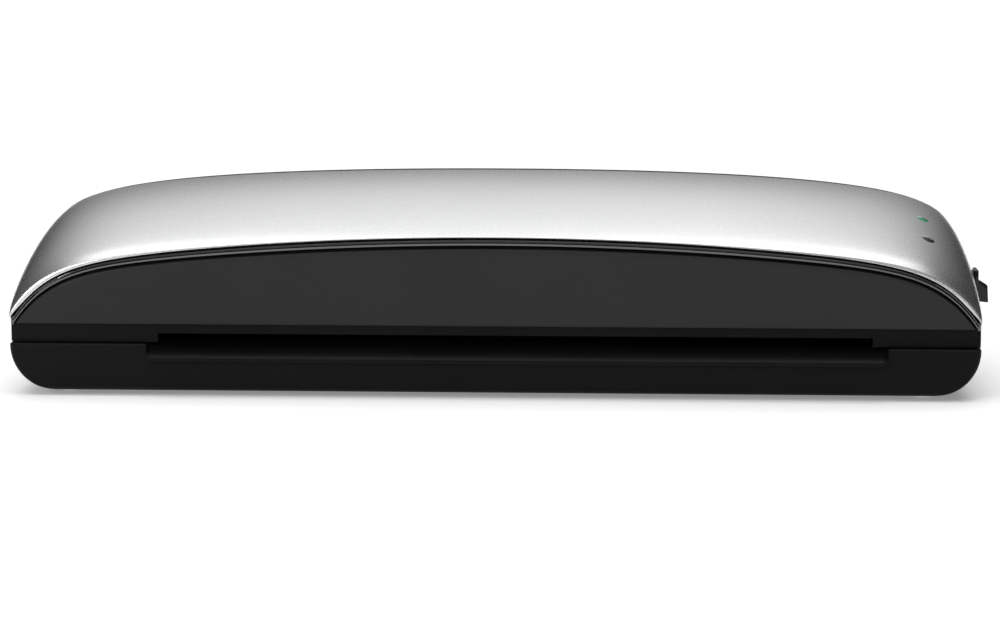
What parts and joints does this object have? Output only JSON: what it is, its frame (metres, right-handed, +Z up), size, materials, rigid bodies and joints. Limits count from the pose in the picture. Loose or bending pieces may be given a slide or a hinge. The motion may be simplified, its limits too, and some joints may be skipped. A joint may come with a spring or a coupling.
{
  "type": "pouch laminator",
  "caption": "Desktop A3 pouch laminator with a silver arched cover, black front panel, entry tray, heated rollers driven by gears, rear release lever and side rocker switch.",
  "frame": {"origin": "on the surface the machine stands on, under the middle of its outside box", "axes": "+X to the operator's right along the machine's width, +Y from the entry slot to the exit slot, +Z up"},
  "size_m": [0.453, 0.1523, 0.0954],
  "materials": {
    "silver_cover": "satin silver metallic paint on moulded plastic",
    "gloss_black": "polished black moulding",
    "matt_black": "fine satin texture",
    "panel_grey": "smooth matt dark grey",
    "black_rubber": "matt",
    "steel": "zinc-plated sheet and rod",
    "aluminium": "extruded",
    "silicone_sleeve": "matt charcoal silicone rubber",
    "white_nylon": "moulded",
    "green_lens": "translucent tinted light pipe",
    "red_lens": "translucent tinted light pipe, unlit",
    "circuit_board": "solder mask",
    "amber_film": "polyimide heater film"
  },
  "bodies": {
    "housing": {"top_cover": "silver_cover", "front_trim": "gloss_black", "switch_housing": "gloss_black", "upper_casing": "matt_black", "lower_casing": "matt_black", "entry_tray": "matt_black", "exit_guide": "matt_black", "front_panel": "panel_grey", "foot_front_left": "black_rubber", "foot_front_right": "black_rubber", "foot_rear_left": "black_rubber", "foot_rear_right": "black_rubber", "cable_gland": "black_rubber", "casing_screw_front_left": "steel", "casing_screw_front_right": "steel", "casing_screw_rear_left": "steel", "casing_screw_rear_right": "steel", "frame_left": "steel", "frame_right": "steel", "tie_bar_front": "steel", "tie_bar_rear": "steel", "pressure_spring_left": "steel", "pressure_spring_right": "steel", "motor_bracket": "steel", "drive_motor": "steel", "lower_heater_plate": "aluminium", "lower_front_bush_left": "white_nylon", "lower_front_bush_right": "white_nylon", "lower_rear_bush_left": "white_nylon", "lower_rear_bush_right": "white_nylon", "ready_lens": "green_lens", "power_lens": "red_lens", "control_board": "circuit_board", "lower_heating_element": "amber_film"},
    "carriage": {"carriage_left": "steel", "carriage_right": "steel", "upper_heater_plate": "aluminium", "upper_heating_element": "amber_film", "thermostat": "steel", "upper_front_bush_left": "white_nylon", "upper_front_bush_right": "white_nylon", "upper_rear_bush_left": "white_nylon", "upper_rear_bush_right": "white_nylon"},
    "release": {"release_shaft": "steel", "release_lever": "gloss_black"},
    "idler": {"idler_gear": "white_nylon"},
    "pinion": {"motor_pinion": "steel"},
    "rocker": {"rocker_switch": "gloss_black"},
    "lower_front_set": {"lower_front_shaft": "steel", "lower_front_roller": "silicone_sleeve", "lower_front_gear": "white_nylon"},
    "lower_rear_set": {"lower_rear_shaft": "steel", "lower_rear_roller": "silicone_sleeve", "lower_rear_gear": "white_nylon"},
    "upper_front_set": {"upper_front_shaft": "steel", "upper_front_roller": "silicone_sleeve", "upper_front_gear": "white_nylon"},
    "upper_rear_set": {"upper_rear_shaft": "steel", "upper_rear_roller": "silicone_sleeve", "upper_rear_gear": "white_nylon"}
  },
  "joints": [
    {"name": "carriage_lift", "type": "slide", "parent": "housing", "child": "carriage", "axis": [0, 0, 1], "range_m": [0, 0.002], "deforming": ["pressure_spring_left", "pressure_spring_right"]},
    {"name": "lower_front_spin", "type": "hinge", "parent": "housing", "child": "lower_front_set", "pos_m": [-0.00315, -0.032, 0.0165], "axis": [1, 0, 0], "continuous": true},
    {"name": "lower_rear_spin", "type": "hinge", "parent": "housing", "child": "lower_rear_set", "pos_m": [-0.00315, 0.032, 0.0165], "axis": [1, 0, 0], "continuous": true},
    {"name": "upper_front_spin", "type": "hinge", "parent": "carriage", "child": "upper_front_set", "pos_m": [-0.00315, -0.032, 0.0355], "axis": [1, 0, 0], "continuous": true},
    {"name": "upper_rear_spin", "type": "hinge", "parent": "carriage", "child": "upper_rear_set", "pos_m": [-0.00315, 0.032, 0.0355], "axis": [1, 0, 0], "continuous": true},
    {"name": "idler_spin", "type": "hinge", "parent": "housing", "child": "idler", "pos_m": [-0.00315, 0, 0.03405], "axis": [1, 0, 0], "continuous": true},
    {"name": "pinion_spin", "type": "hinge", "parent": "housing", "child": "pinion", "pos_m": [-0.00315, 0.03, 0.0478], "axis": [1, 0, 0], "continuous": true},
    {"name": "release_turn", "type": "hinge", "parent": "housing", "child": "release", "pos_m": [-0.00315, 0.054, 0.05], "axis": [1, 0, 0], "range_deg": [0, 40]},
    {"name": "switch_rock", "type": "hinge", "parent": "housing", "child": "rocker", "pos_m": [0.21785, -0.025, 0.0462], "axis": [0, 1, 0], "range_deg": [0, 20]}
  ],
  "couplings": [
    {"joint": "lower_rear_spin", "follows": "lower_front_spin", "ratio": 1},
    {"joint": "upper_front_spin", "follows": "lower_front_spin", "ratio": -1},
    {"joint": "upper_rear_spin", "follows": "lower_front_spin", "ratio": -1},
    {"joint": "idler_spin", "follows": "lower_front_spin", "ratio": -0.35185},
    {"joint": "pinion_spin", "follows": "lower_front_spin", "ratio": 1.5833},
    {"joint": "release_turn", "follows": "carriage_lift", "rad_per_m": 349.06}
  ]
}
